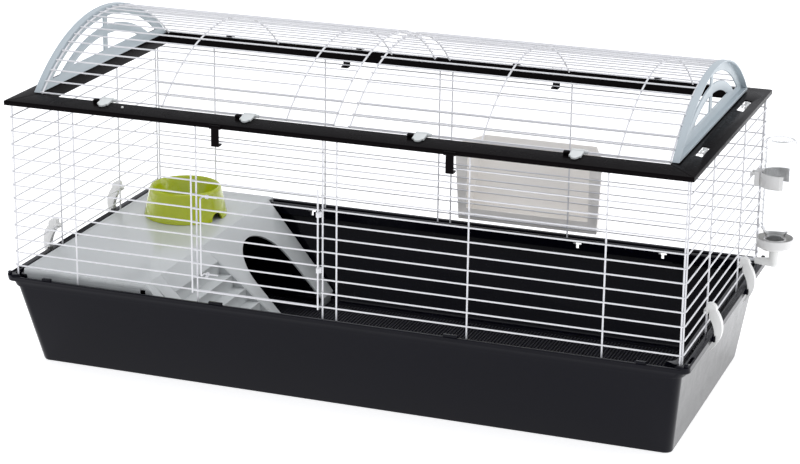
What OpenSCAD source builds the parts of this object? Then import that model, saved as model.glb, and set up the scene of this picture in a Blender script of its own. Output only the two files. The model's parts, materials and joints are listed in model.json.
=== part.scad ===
// Wire rabbit cage: a deep tub, four wire walls, a four-rail top frame and a domed roof in two
// hinged panels, with a raised platform, a bowl, a hay rack and a water bottle.
// The origin is the centre of the tub's underside, +X runs along the cage and -Y is the front.

/* [Tub] */
// Length over the tub's rim
rim_l = 1190; // [1180:2:1200]
// Width over the tub's rim
rim_w = 580; // [576:2:590]
// Height of the rim's top
rim_z = 170; // [168:1:174]
// Length of the tub's base
base_l = 1122; // [1090:2:1130]
// Width of the tub's base
base_w = 470; // [450:2:480]
// Thickness of the tub's floor
floor_t = 3; // [2.5:0.5:5]

/* [Wires] */
// Diameter of the long wires
wire_d = 2.6; // [2.2:0.1:2.8]
// Diameter of the upright wires, the stiles and the roof hoops
stile_d = 3; // [2.6:0.1:3.2]
// Distance from the centre to the end walls' wires
wall_x = 582; // [578:0.5:582.5]
// Distance from the centre to the front and back walls' wires
wall_y = 279; // [278:0.5:280]
// Height of the lowest long wire
row_z = 185; // [182:1:187]
// Distance from one long wire to the next
row_step = 23.6; // [23:0.1:23.7]
// Width of a bay between two uprights of the long walls
bay = 223; // [215:1:226]
// Gap between the pair of uprights at the middle of a long wall
mid_gap = 24; // [20:1:28]

/* [Top frame] */
// Length over the frame
frame_l = 1174; // [1170:1:1176]
// Width over the frame
frame_w = 572; // [570:1:574]
// Length of the frame's opening
hatch_l = 1082; // [1080:1:1084]
// Width of the frame's opening
hatch_w = 502; // [500:1:504]
// Height of the frame's inner top edge
frame_z = 482; // [481:0.5:484]

/* [Roof] */
// Half the distance between a hoop's two feet
hoop_half = 243; // [240:1:244]
// Height of a hoop above its feet
hoop_rise = 92; // [86:1:92]
// Distance between a panel's three main hoops
hoop_pitch = 221; // [215:1:222]
// Length of one roof panel between its end hoops
panel_l = 524; // [520:1:524]
// Number of gaps between a panel's long wires
roof_gaps = 22; // [18:1:24]

/* [End plates] */
// Height of an end plate's crown
crown_z = 580; // [576:1:584]
// Half the width of an end plate at its foot
plate_half = 243; // [240:1:246]
// Width of an end plate's curved flange
flange_w = 12; // [10:1:18]

/* [Platform] */
// Height of the platform's deck
deck_z = 178; // [176:1:182]
// Where the deck turns down into the ramp
bend_x = -340; // [-350:1:-330]
// Where the ramp ends above its toe
foot_x = -200; // [-208:1:-194]
// Thickness of the platform's plastic
deck_t = 3; // [2.5:0.5:3.5]
// Number of steps in the ramp
steps = 5; // [4:1:7]

/* [Bowl, rack and bottle] */
// Radius of the bowl's foot
bowl_foot_r = 76; // [70:1:78]
// Radius of the bowl's rim
bowl_rim_r = 63; // [56:1:66]
// Height of the bowl
bowl_h = 54; // [46:1:60]
// Width of the hay rack's mouth along the cage
rack_w = 278; // [260:2:280]
// Depth of the hay rack's mouth
rack_d = 78; // [60:1:84]
// Radius of the water bottle
bottle_r = 28.5; // [26:0.5:30]
// Height of the water bottle's body
bottle_h = 172; // [150:1:180]

/* [Hidden] */
$fn = 48;

// Finishes
black = "#2b2a2f";
rail_black = "#232023";
wire_white = "#f2f2f4";
plate_blue = "#b4bec6";
deck_grey = "#c4c8c8";
lime = "#a8b814";
rack_beige = "#c8c3bc";
latch_grey = "#d8dcda";
clip_white = "#ebebe8";
steel = "#b8bcc0";
clear = [0.86, 0.92, 0.95, 0.45];

// Wires
wire_r = wire_d / 2;
stile_r = stile_d / 2;
weld = 0.4;
cross_gap = wire_r + stile_r - weld;
rows = 12;
stile_low = 162;
stile_high = 472.6;
wall_shift_front = -6;
wall_shift_back = -2;
end_stile_y = 113;
run_gap = 0.07;

// Rails
rail_outer_z = 475;
rail_lip_z = 467;
rail_low_z = 460;
skin = 3;
rail_slope = atan2(frame_z - rail_outer_z, (frame_w - hatch_w) / 2);

// Roof
hoop_r = (hoop_half * hoop_half + hoop_rise * hoop_rise) / (2 * hoop_rise);
hoop_z = frame_z + hoop_rise - hoop_r;
hoop_angle = asin(hoop_half / hoop_r);
roof_touch = 0.03;
shell_r = hoop_r + stile_r + wire_r - roof_touch;
panel_x = [-537, 15];
hinge_y = shell_r * sin(hoop_angle);
hinge_z = hoop_z + shell_r * cos(hoop_angle);
latch_x = [123, 379];
wire_end = 2;
ring_r = 4;

// Door
door_left = -247;
door_right = -23;
door_rows = 8;
door_gap = 0.5;
door_y = -wall_y - wire_d - door_gap;
door_stile_y = door_y - cross_gap;
bolt_x = -230;
bolt_z = [212.6, 346.2];
bolt_y = -273.4;
bolt_grip_y = door_stile_y - 1;

// Clips
clip_x = 200;
clip_pivot_y = 289.5;
clip_pivot_z = 471;
tub_clip_y = 123;
tub_clip_w = 12;
catch_wire_z = row_z + row_step;

// Platform
deck_edge_x = -569;
deck_edge_y = 271;
ledge_z = 168;
toe_z = 24;
ramp_angle = atan2(deck_z - toe_z, foot_x - bend_x);
ramp_l = (deck_z - toe_z) / sin(ramp_angle);
ramp_top_y = 250;
ramp_foot_y = 226;
step_edge_y = -45;
step_lean = 0.34;
step_front_y = -211;
first_step = 26;
cheek_t = 4;
cheek_drop = 0.5;
cheek_depth = 35;
doorway_y = 99;
doorway_top = 35;
doorway_r = 76;

// Bowl, rack and bottle
bowl_at = [-448, 117];
rack_at = [153, 284];
rack_top_z = 318;
rack_low_z = 176;
rack_hook_x = 90;
rack_hook_w = 10;
bottle_at = [625, 190];
bottle_z = 244;
tube_z = 196.8;

// ---------------------------------------------------------------- shared shapes

// A rectangle with round corners, centred
module round_rect(l, w, r) {
    square([l - 2 * r, w], center = true);
    square([l, w - 2 * r], center = true);
    for (x = [-1, 1], y = [-1, 1])
        translate([x * (l / 2 - r), y * (w / 2 - r)])
            circle(r);
}

// A thin plate of that outline
module round_slab(l, w, r, h) {
    linear_extrude(h) round_rect(l, w, r);
}

// A round bar from a point along X, Y or Z
module bar_x(p, l, r) {
    translate(p) rotate([0, 90, 0]) cylinder(r = r, h = l, $fn = 24);
}

module bar_y(p, l, r) {
    translate(p) rotate([-90, 0, 0]) cylinder(r = r, h = l, $fn = 24);
}

module bar_z(p, l, r) {
    translate(p) cylinder(r = r, h = l, $fn = 24);
}

// An outline in Y and Z, pushed along X
module along_x(x, l) {
    translate([x, 0, 0]) rotate([90, 0, 90]) linear_extrude(l) children();
}

// An outline in X and Z, pushed along +Y
module along_y(y, l) {
    translate([0, y + l, 0]) rotate([90, 0, 0]) linear_extrude(l) children();
}

// ---------------------------------------------------------------- tub

rim_low = 158;
lip_low = 148;
body_l = 1160;
body_w = 576;
corner_r = 14;
wall_t = 3;
cavity_l = 1132;
cavity_w = 524;
groove_l = 1167;
groove_w = 561;
groove_t = 7;
skirt_t = 4;
skirt_low = 150;
lip_r = 10;
tee_x = [-414, -257, 257, 414];
tee_y = 258;
tee_room = 18;
tee_z = 160.4;
tee_arm = [14.4, 4];
tee_stem = [5.2, 8];

module rim_ring(l, w, r, cut_l, cut_w, cut_r, z, h) {
    translate([0, 0, z]) linear_extrude(h) difference() {
        round_rect(l, w, r);
        round_rect(cut_l, cut_w, cut_r);
    }
}

// A T-shaped slot through the back of the rim's inner skirt, and the gap behind it
module tee_slot(x) {
    along_y(tee_y, 9) {
        translate([x - tee_arm[0] / 2, tee_z]) square(tee_arm);
        translate([x - tee_stem[0] / 2, tee_z + 0.6 - tee_stem[1]]) square(tee_stem);
    }
    translate([x - tee_room / 2, tee_y + 8, skirt_low]) cube([tee_room, 17, 15]);
    translate([x - tee_room / 2, tee_y + 8, lip_low - 5]) cube([tee_room, rim_w / 2 - tee_y, 14.5]);
}

// The tub's outer form: sloping walls, a collar and the rim's lip
module tub_outside() {
    hull() {
        round_slab(base_l, base_w, corner_r, 1, $fn = 32);
        translate([0, 0, lip_low]) round_slab(body_l, body_w, corner_r + 2, 1, $fn = 32);
    }
    translate([0, 0, lip_low]) round_slab(body_l + 10, body_w + 2, corner_r + 4, rim_z - lip_low);
    translate([0, 0, rim_low]) round_slab(rim_l, rim_w, lip_r, rim_z - rim_low);
}

module tub() {
    in_r = corner_r - wall_t;
    color(black) difference() {
        union() {
            difference() {
                tub_outside();
                hull() {
                    translate([0, 0, floor_t])
                        round_slab(base_l - 2 * wall_t, base_w - 2 * wall_t, in_r, 1, $fn = 32);
                    translate([0, 0, rim_low - 1])
                        round_slab(body_l - 2 * wall_t, body_w - 2 * wall_t, in_r + 2, 1, $fn = 32);
                }
            }
            // the skirt that hangs from the rim's inner edge
            translate([0, 0, skirt_low])
                round_slab(cavity_l + 2 * skirt_t, cavity_w + 2 * skirt_t, corner_r + skirt_t, ledge_z - skirt_low);
        }
        translate([0, 0, lip_low]) round_slab(cavity_l, cavity_w, corner_r, rim_z);
        // groove that takes the feet of the wire walls
        rim_ring(groove_l, groove_w, 10, groove_l - 2 * groove_t, groove_w - 2 * groove_t, 8, stile_low, 20);
        // hollow under the lip at each end
        rim_ring(rim_l - 6, cavity_w, 4, groove_l + 5, rim_w, 4, rim_low - 1, 8);
        // the ledge inside the groove is a little lower than the rim
        translate([0, 0, ledge_z]) round_slab(groove_l - groove_t, groove_w - groove_t, 8, 10);
        for (x = tee_x) tee_slot(x);
    }
}

knob_x = 589;
knob_y = 284;
knob_r = 3.5;

module corner_knobs() {
    color(black) for (x = [-1, 1], y = [-1, 1])
        translate([x * knob_x, y * knob_y, rim_z])
            cylinder(r = knob_r, h = 5);
}

// ---------------------------------------------------------------- wire walls

// Places of the uprights of a long wall
function long_stiles(shift) = concat(
    [-wall_x + 5, shift - mid_gap / 2 - 2 * bay],
    [for (k = [1, 0]) shift - mid_gap / 2 - k * bay],
    [for (k = [0, 1, 2]) shift + mid_gap / 2 + k * bay],
    [wall_x - 5]);

module long_rows(ks, x0, x1, y) {
    for (k = ks) bar_x([x0, y, row_z + k * row_step], x1 - x0, wire_r);
}

module wall_front() {
    places = long_stiles(wall_shift_front);
    gap_left = places[2];
    gap_right = places[3];
    end_x = wall_x - 5 + stile_r;
    color(wire_white) union() {
        for (x = places) bar_z([x, -wall_y + cross_gap, stile_low], stile_high - stile_low, stile_r);
        long_rows([0:rows], -end_x, gap_left + stile_r, -wall_y);
        long_rows([0:rows], gap_right - stile_r, end_x, -wall_y);
    }
}

// The long wires that run on over and under the doorway
module wall_front_bridge() {
    places = long_stiles(wall_shift_front);
    color(wire_white) long_rows([0, for (k = [door_rows + 1:rows]) k],
        places[2] + stile_r, places[3] - stile_r, -wall_y);
}

module wall_back() {
    end_x = wall_x - 5 + stile_r;
    color(wire_white) union() {
        for (x = long_stiles(wall_shift_back))
            bar_z([x, wall_y - cross_gap, stile_low], stile_high - stile_low, stile_r);
        long_rows([0:rows], -end_x, end_x, wall_y);
    }
}

module end_wall(side) {
    end_y = wall_y - 7;
    color(wire_white) union() {
        for (y = [-end_y, -end_stile_y, end_stile_y, end_y])
            bar_z([side * (wall_x - cross_gap), y, stile_low], stile_high - stile_low, stile_r);
        for (k = [0:rows])
            bar_y([side * wall_x, -end_y - stile_r, row_z + k * row_step], 2 * (end_y + stile_r), wire_r);
    }
}

module wall_left() { end_wall(-1); }
module wall_right() { end_wall(1); }

// ---------------------------------------------------------------- top frame

// A rail's section: u runs out from the hatch, then height
module rail_section(width) {
    polygon([
        [0, rail_low_z], [0, frame_z], [width, rail_outer_z], [width, rail_lip_z],
        [width - skin, rail_lip_z], [width - skin, rail_outer_z - skin + 0.6],
        [skin, frame_z - skin - 0.6], [skin, rail_low_z]
    ]);
}

// The wedge between two mitred corners
module mitre(inner_half, outer_half, inner, outer) {
    translate([0, 0, rail_low_z - 1]) linear_extrude(frame_z - rail_low_z + 2) polygon([
        [-inner_half, inner], [inner_half, inner], [outer_half, outer], [-outer_half, outer]
    ]);
}

module long_rail() {
    intersection() {
        translate([-frame_l / 2, hatch_w / 2, 0]) along_x(0, frame_l)
            rail_section((frame_w - hatch_w) / 2);
        mitre(hatch_l / 2, frame_l / 2, hatch_w / 2, frame_w / 2);
    }
}

module end_rail() {
    rotate(-90) intersection() {
        translate([-frame_w / 2, hatch_l / 2, 0]) along_x(0, frame_w)
            rail_section((frame_l - hatch_l) / 2);
        mitre(hatch_w / 2, frame_w / 2, hatch_l / 2, frame_l / 2);
    }
}

module front_rail() { color(rail_black) rotate(180) long_rail(); }
module back_rail() { color(rail_black) long_rail(); }
module left_rail() { color(rail_black) rotate(180) end_rail(); }
module right_rail() { color(rail_black) end_rail(); }

// ---------------------------------------------------------------- end plates

plate_rise = crown_z - frame_z;
plate_r = (plate_half * plate_half + plate_rise * plate_rise) / (2 * plate_rise);
plate_c = crown_z - plate_r;
web_t = 3;
outer_window = [plate_r - 18, plate_r - 34];
inner_window_r = plate_r - 50;
window_low = 496;
inner_low = 503;
rib_half = 7;

// The part of a disc above a height
module cap_disc(r, low) {
    intersection() {
        translate([0, plate_c]) circle(r, $fn = 160);
        translate([-r, low]) square([2 * r, r]);
    }
}

module plate_windows() {
    difference() {
        union() {
            difference() {
                cap_disc(outer_window[0], window_low);
                cap_disc(outer_window[1], window_low - 1);
            }
            cap_disc(inner_window_r, inner_low);
        }
        translate([-rib_half, frame_z]) square([2 * rib_half, plate_rise]);
    }
}

// The right-hand plate, and the left one as its mirror image
module end_plate() {
    foot_h = 5;
    union() {
        along_x(hatch_l / 2, web_t) difference() {
            cap_disc(plate_r, frame_z);
            plate_windows();
        }
        along_x(hatch_l / 2, flange_w) difference() {
            cap_disc(plate_r, frame_z);
            cap_disc(plate_r - skin, frame_z - 1);
        }
        along_x(hatch_l / 2, flange_w) translate([-plate_half, frame_z])
            intersection() {
                square([2 * plate_half, foot_h]);
                translate([plate_half, -frame_z]) cap_disc(plate_r, frame_z);
            }
    }
}

module end_plate_right() { color(plate_blue) end_plate(); }
module end_plate_left() { color(plate_blue) mirror([1, 0, 0]) end_plate(); }

// ---------------------------------------------------------------- roof panels

hoop_offsets = [0, hoop_pitch, 2 * hoop_pitch, panel_l];

// One hoop across the cage
module hoop(x) {
    translate([x, 0, hoop_z]) rotate([90, 0, 90]) rotate(90 - hoop_angle)
        rotate_extrude(angle = 2 * hoop_angle, $fn = 160)
            translate([hoop_r, 0]) circle(stile_r, $fn = 24);
}

module roof_hoops(x0) {
    color(wire_white) for (x = hoop_offsets) hoop(x0 + x);
}

// The long wires lie on the hoops' outside
module roof_wires(x0) {
    step = 2 * hoop_angle / roof_gaps;
    color(wire_white) for (k = [0:roof_gaps])
        translate([0, 0, hoop_z]) rotate([-hoop_angle + k * step, 0, 0])
            bar_x([x0 - wire_end, 0, shell_r], panel_l + 2 * wire_end, wire_r);
}

module roof_hoops_left() { roof_hoops(panel_x[0]); }
module roof_hoops_right() { roof_hoops(panel_x[1]); }
module roof_wires_left() { roof_wires(panel_x[0]); }
module roof_wires_right() { roof_wires(panel_x[1]); }

flap_t = 3;
flap_from = 2.2;
rail_drop = sin(rail_slope) * (hinge_y - hatch_w / 2) + cos(rail_slope) * (hinge_z - frame_z);

// A ring around the roof panel's edge wire at a side of the cage, with a flap over the rail
module edge_ring(w, flap_l, gap) {
    end_r = w / 3;
    union() {
        translate([-w / 2, 0, 0]) difference() {
            bar_x([0, 0, 0], w, ring_r);
            bar_x([-1, 0, 0], w + 2, wire_r + run_gap);
            translate([-1, -ring_r - 1, -1]) cube([w + 2, ring_r + 1, 2]);
        }
        rotate([-rail_slope, 0, 0]) translate([0, 0, gap - rail_drop]) {
            translate([-w / 2 + 0.3, flap_from, 0]) cube([w - 0.6, flap_l - end_r - flap_from, flap_t]);
            translate([0, flap_l - end_r, 0]) cylinder(r = end_r, h = flap_t);
        }
    }
}

hinge_clip_w = 10;

module roof_hinge_clips() {
    color(rail_black) for (p = panel_x, dx = latch_x)
        translate([p + dx, hinge_y, hinge_z]) edge_ring(hinge_clip_w, 16, 0);
}

latch_w = 20;
latch_flap_l = 27;

module roof_latch(x) {
    color(latch_grey) translate([x, -hinge_y, hinge_z]) rotate(180) union() {
        edge_ring(latch_w, latch_flap_l, 0.5);
        difference() {
            bar_x([-latch_w / 2 - 6, 0, 0], 6, 3);
            bar_x([-latch_w / 2 - 7, 0, 0], 8, wire_r + run_gap);
            translate([-latch_w / 2 - 7, -4, -1]) cube([8, 4, 2]);
        }
    }
}

module roof_latch_1() { roof_latch(panel_x[0] + latch_x[0]); }
module roof_latch_2() { roof_latch(panel_x[0] + latch_x[1]); }
module roof_latch_3() { roof_latch(panel_x[1] + latch_x[0]); }
module roof_latch_4() { roof_latch(panel_x[1] + latch_x[1]); }

socket_l = 10;
socket_d = 8;
socket_h = 5;

// Dark blocks on the front rail's inner edge, left of each latch
module latch_sockets() {
    color(rail_black) for (p = panel_x, dx = latch_x)
        translate([p + dx - latch_w / 2 - socket_l - 1, -hatch_w / 2, frame_z])
            rotate([rail_slope, 0, 0]) translate([0, -socket_d, 0]) cube([socket_l, socket_d, socket_h]);
}

// ---------------------------------------------------------------- wall clips

wall_clip_w = 13;
pin_r = 1.2;
pin_gap = 0.05;
knuckle_r = 3.2;
ear_t = 3;
clip_low = 441.5;

// A clip at the back wall; the front ones are turned half round
module wall_clip() {
    color(rail_black) difference() {
        union() {
            bar_x([-wall_clip_w / 2, clip_pivot_y, clip_pivot_z], wall_clip_w, knuckle_r);
            translate([-wall_clip_w / 2, clip_pivot_y - 1, clip_low - skin])
                cube([wall_clip_w, 3, clip_pivot_z - clip_low + skin]);
            translate([-wall_clip_w / 2, wall_y - 1.5, clip_low - skin])
                cube([wall_clip_w, clip_pivot_y - wall_y + 1.5, skin]);
        }
        bar_x([-wall_clip_w, clip_pivot_y, clip_pivot_z], 2 * wall_clip_w, pin_r + pin_gap);
    }
}

// Two ears on the rail and the pin between them
module wall_clip_pin() {
    ear_x = wall_clip_w / 2 + 0.3;
    union() {
        bar_x([-ear_x - ear_t, clip_pivot_y, clip_pivot_z], 2 * (ear_x + ear_t), pin_r);
        for (x = [-ear_x - ear_t, ear_x])
            translate([x, frame_w / 2, clip_pivot_z - 3])
                cube([ear_t, 6, 6]);
    }
}

module wall_clip_pins() {
    color(rail_black) for (x = [-clip_x, clip_x], turn = [0, 180])
        rotate(turn) translate([x, 0, 0]) wall_clip_pin();
}

module wall_clip_back_left() { translate([-clip_x, 0, 0]) wall_clip(); }
module wall_clip_back_right() { translate([clip_x, 0, 0]) wall_clip(); }
module wall_clip_front_left() { rotate(180) translate([clip_x, 0, 0]) wall_clip(); }
module wall_clip_front_right() { rotate(180) translate([-clip_x, 0, 0]) wall_clip(); }

// ---------------------------------------------------------------- tub clips

arc_at = [562, 180];
arc_r = 47;
inner_at = [545, 168];
inner_r = 52;
tail_z = 142;
head_z = 224;
hook_r = 4.6;

// The clip's outline: a crescent with a hook round the second wire of the end wall
module tub_clip_outline() {
    difference() {
        union() {
            intersection() {
                difference() {
                    translate(arc_at) circle(arc_r, $fn = 96);
                    translate(inner_at) circle(inner_r, $fn = 96);
                }
                translate([wall_x + 5, tail_z]) square([40, head_z - tail_z]);
            }
            intersection() {
                translate([wall_x + 6, catch_wire_z + 3]) circle(10.4);
                translate([wall_x, catch_wire_z + 2]) square([18, 12]);
            }
            translate([wall_x, catch_wire_z]) circle(hook_r);
        }
        translate([wall_x, catch_wire_z]) circle(wire_r + run_gap);
        translate([wall_x - 8, catch_wire_z - 1]) square([8, 2]);
    }
}

module tub_clip(side, y) {
    color(clip_white) mirror([side < 0 ? 1 : 0, 0, 0])
        along_y(y - tub_clip_w / 2, tub_clip_w) tub_clip_outline();
}

module tub_clip_left_front() { tub_clip(-1, -tub_clip_y); }
module tub_clip_left_back() { tub_clip(-1, tub_clip_y); }
module tub_clip_right_front() { tub_clip(1, -tub_clip_y); }
module tub_clip_right_back() { tub_clip(1, tub_clip_y); }

rib_w = 2.5;
rib_d = 5;
rib_gap = 0.6;

// A pair of ribs on the rim beside each clip, which keep it in line
module tub_clip_catches() {
    first = tub_clip_w / 2 + rib_gap;
    color(black) for (side = [-1, 1], y = [-tub_clip_y, tub_clip_y], dy = [-first - rib_w, first])
        mirror([side < 0 ? 1 : 0, 0, 0])
            translate([rim_l / 2, y + dy, rim_low + 1])
                cube([rib_d, rib_w, 10]);
}

// ---------------------------------------------------------------- front door

eye_z = [244.4, 338.8];
eye_h = 8;
eye_r = 3.4;
guide_x = -226;
guide_l = 5;

module bolt_guide(z, row) {
    translate([guide_x, 0, 0]) difference() {
        union() {
            bar_x([0, bolt_y, z], guide_l, 2.8);
            translate([0, door_y, min(z, row) - 1]) cube([guide_l, bolt_y - door_y, abs(z - row) + 2]);
        }
        bar_x([-1, bolt_y, z], guide_l + 2, wire_r + run_gap);
    }
}

module front_door() {
    top_z = row_z + (door_rows + 0.45) * row_step;
    color(wire_white) union() {
        for (x = [door_left, door_right]) bar_z([x, door_stile_y, row_z - 3], top_z - row_z + 3, stile_r);
        for (k = [0:door_rows])
            bar_x([door_left - 1, door_y, row_z + k * row_step], door_right - door_left + 2, wire_r);
        bolt_guide(bolt_z[0], row_z + row_step);
        bolt_guide(bolt_z[1], row_z + 7 * row_step);
    }
}

finger_left = -238.6;
finger_right = -205;

// A sliding U of wire, drawn back: an upright grip outside and two fingers inside, which slide
// behind the wall's upright to lock
module door_bolt() {
    leg_l = bolt_y - bolt_grip_y + 2 * wire_r;
    color(wire_white) union() {
        bar_z([bolt_x, bolt_grip_y, bolt_z[0] - wire_r], bolt_z[1] - bolt_z[0] + 2 * wire_r, wire_r);
        for (z = bolt_z) {
            bar_y([bolt_x, bolt_grip_y - wire_r, z], leg_l, wire_r);
            bar_x([finger_left, bolt_y, z], finger_right - finger_left, wire_r);
        }
    }
}

// Two eyes on the wall's upright that carry the door's right-hand stile
module door_hinge_eyes() {
    stile_x = long_stiles(wall_shift_front)[3];
    color(wire_white) for (z = eye_z) difference() {
        union() {
            bar_z([door_right, door_stile_y, z], eye_h, eye_r);
            translate([door_right, door_stile_y, z])
                cube([stile_x - door_right, -wall_y + cross_gap - door_stile_y, eye_h]);
        }
        bar_z([door_right, door_stile_y, z - 1], eye_h + 2, stile_r + run_gap);
        bar_z([stile_x, -wall_y + cross_gap, z - 1], eye_h + 2, stile_r);
    }
}

// ---------------------------------------------------------------- platform and bowl

// The ramp's plate in its own plane: x down the ramp, y across it
module ramp_outline(y0, y1, f0, f1) {
    polygon([[0, y0], [0, y1], [ramp_l, f1], [ramp_l, f0]]);
}

module on_ramp() {
    translate([bend_x, 0, deck_z]) rotate([0, ramp_angle, 0]) children();
}

// Nosings and corners of the stepped half, from the deck down, in X and Z
function stair_points() = let (
    top_x = bend_x + first_step,
    top_z = deck_z - first_step * tan(ramp_angle),
    dx = (foot_x - top_x) / steps,
    dz = (top_z - toe_z) / steps
) [
    [bend_x, deck_z],
    for (k = [0:steps - 1]) each [[top_x + k * dx, top_z - k * dz], [top_x + k * dx, top_z - (k + 1) * dz]],
    [foot_x, toe_z], [foot_x, floor_t]
];

module stepped_ramp() {
    outer = stair_points();
    last = len(outer) - 1;
    inner = [for (k = [last:-1:0]) outer[k] - [deck_t, deck_t]];
    intersection() {
        along_y(-ramp_top_y, 2 * ramp_top_y) polygon(concat(outer, inner));
        along_x(bend_x - 30, foot_x - bend_x + 40) polygon([
            [step_front_y, deck_z], [step_edge_y, deck_z],
            [step_edge_y + step_lean * (deck_z - floor_t), floor_t], [step_front_y, floor_t]
        ]);
    }
}

// An upright web at a side of the steps; its top stays just below the smooth ramp
module ramp_cheek(y, lean) {
    sheared_y = [[1, 0, 0, 0], [0, 1, -lean, lean * deck_z], [0, 0, 1, 0], [0, 0, 0, 1]];
    multmatrix(sheared_y) along_y(y - cheek_t / 2, cheek_t) polygon([
        [bend_x - deck_t, deck_z - cheek_drop], [bend_x, deck_z - cheek_drop],
        [foot_x - cheek_drop, toe_z - cheek_drop], [foot_x - cheek_drop, floor_t - cheek_drop],
        [foot_x - cheek_depth, floor_t - cheek_drop], [bend_x - deck_t, deck_z - cheek_depth]
    ]);
}

module smooth_ramp() {
    first_y = step_edge_y + 1;
    low_y = first_y + step_lean * (deck_z - toe_z);
    on_ramp() translate([0, 0, -deck_t]) linear_extrude(deck_t) difference() {
        union() {
            ramp_outline(first_y, ramp_top_y, low_y, ramp_foot_y);
            ramp_outline(-ramp_top_y, step_front_y - 1, -ramp_foot_y, step_front_y - 1);
        }
        translate([doorway_top + doorway_r, doorway_y]) circle(doorway_r, $fn = 96);
        translate([doorway_top + doorway_r, doorway_y - doorway_r]) square([ramp_l, 2 * doorway_r]);
    }
}

// The short wall that carries the ramp's end; it leans back towards the floor
module ramp_toe(y0, y1) {
    lean_x = 6;
    along_y(y0, y1 - y0) polygon([
        [foot_x - 0.6, toe_z], [foot_x - 3.5, toe_z + 1],
        [foot_x - 3.5 - lean_x, floor_t - 1], [foot_x - lean_x, floor_t - 1]
    ]);
}

module platform() {
    color(deck_grey) union() {
        translate([deck_edge_x, -deck_edge_y, deck_z - deck_t])
            cube([bend_x - deck_edge_x, 2 * deck_edge_y, deck_t]);
        for (y = [-deck_edge_y, deck_edge_y - deck_t])
            translate([deck_edge_x, y, ledge_z]) cube([bend_x - deck_edge_x, deck_t, deck_z - ledge_z - 1]);
        translate([deck_edge_x, -deck_edge_y, ledge_z]) cube([deck_t, 2 * deck_edge_y, deck_z - ledge_z - 1]);
        difference() {
            union() {
                stepped_ramp();
                ramp_cheek(step_edge_y, step_lean);
                ramp_cheek(step_front_y, 0);
                smooth_ramp();
                ramp_toe(step_edge_y + step_lean * (deck_z - toe_z), doorway_y - doorway_r - 0.5);
                ramp_toe(doorway_y + doorway_r + 0.5, ramp_foot_y - 0.5);
                ramp_toe(-ramp_foot_y + 0.5, step_front_y);
            }
            translate([foot_x - 60, -300, -50]) cube([100, 600, 50 + floor_t]);
        }
    }
}

bowl_t = 3;
notch_r = 14;

module food_bowl() {
    dish_h = 40;
    color(lime) translate([bowl_at[0], bowl_at[1], deck_z]) difference() {
        rotate_extrude($fn = 96) polygon([
            [0, bowl_h - dish_h - bowl_t], [bowl_rim_r - 12, bowl_h - dish_h - bowl_t],
            [bowl_rim_r - 4, bowl_h - 6], [bowl_foot_r - 4, 0], [bowl_foot_r, 0], [bowl_foot_r - 1, 4],
            [bowl_rim_r + 2, bowl_h - 2], [bowl_rim_r, bowl_h], [bowl_rim_r - 3, bowl_h],
            [bowl_rim_r - 14, bowl_h - dish_h], [0, bowl_h - dish_h]
        ]);
        // arched notches in the skirt
        for (turn = [0, 180]) rotate(turn - 15) translate([bowl_foot_r - 12, 0, 0]) rotate([0, 90, 0])
            cylinder(r = notch_r, h = 30);
    }
}

// ---------------------------------------------------------------- hay rack

module rack_shell(grow, low, high) {
    top_back = rack_d - grow;
    low_back = 44 - grow;
    intersection() {
        along_x(-rack_w / 2 + grow, rack_w - 2 * grow)
            polygon([[grow, low], [grow, high], [top_back, high], [low_back, low]]);
        translate([0, 0, low]) linear_extrude(high - low) polygon([
            [-rack_w / 2 + grow, -1], [rack_w / 2 - grow, -1],
            [rack_w / 2 - 32 - grow, rack_d + 1], [-rack_w / 2 + 32 + grow, rack_d + 1]
        ]);
        along_y(-1, rack_d + 2) polygon([
            [-rack_w / 2 + grow + 9, low], [-rack_w / 2 + grow, high],
            [rack_w / 2 - grow, high], [rack_w / 2 - grow - 7, low]
        ]);
    }
}

module hay_rack() {
    wall = 2.5;
    hook_row = row_z + 5 * row_step;
    color(rack_beige) translate([rack_at[0], rack_at[1], 0]) union() {
        difference() {
            rack_shell(0, rack_low_z, rack_top_z);
            rack_shell(wall, rack_low_z + wall, rack_top_z + 1);
            // window on the cage side, behind the wires
            translate([-rack_w / 2 + 24, -1, rack_low_z + 22])
                cube([rack_w - 48, wall + 2, rack_top_z - rack_low_z - 44]);
        }
        for (x = [-rack_hook_x, rack_hook_x]) translate([x - rack_hook_w / 2, 0, 0]) {
            translate([0, -6.6, hook_row + wire_r + 0.3]) cube([rack_hook_w, 7.6, 3]);
            translate([0, -8.6, hook_row - 4]) cube([rack_hook_w, 2, 4 + wire_r + 3.3]);
        }
    }
}

// ---------------------------------------------------------------- water bottle

holder_z = 334;
holder_h = 24;
holder_t = 3;
grip_gap = 0.4;

module bottle_holder() {
    inner = bottle_r + grip_gap;
    color(deck_grey) translate([bottle_at[0], bottle_at[1], holder_z]) union() {
        linear_extrude(holder_h) difference() {
            union() {
                circle(inner + holder_t, $fn = 96);
                translate([0, -inner - holder_t]) square([8, 2 * (inner + holder_t)]);
            }
            circle(inner, $fn = 96);
            translate([0, -inner]) square([60, 2 * inner]);
        }
        // back pad, and hooks over a wire of the end wall
        translate([-inner - 10, -14, 0]) cube([9, 28, holder_h]);
        for (y = [-12, 6]) {
            translate([wall_x - bottle_at[0] - 4, y, row_z + 7 * row_step + wire_r - holder_z])
                cube([14, 6, 3]);
            translate([wall_x - bottle_at[0] - 4, y, row_z + 7 * row_step - 3 - holder_z])
                cube([2.2, 6, 6 + wire_r]);
        }
    }
}

neck_r = 16;
neck_h = 14;
glass_t = 1.6;

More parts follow.
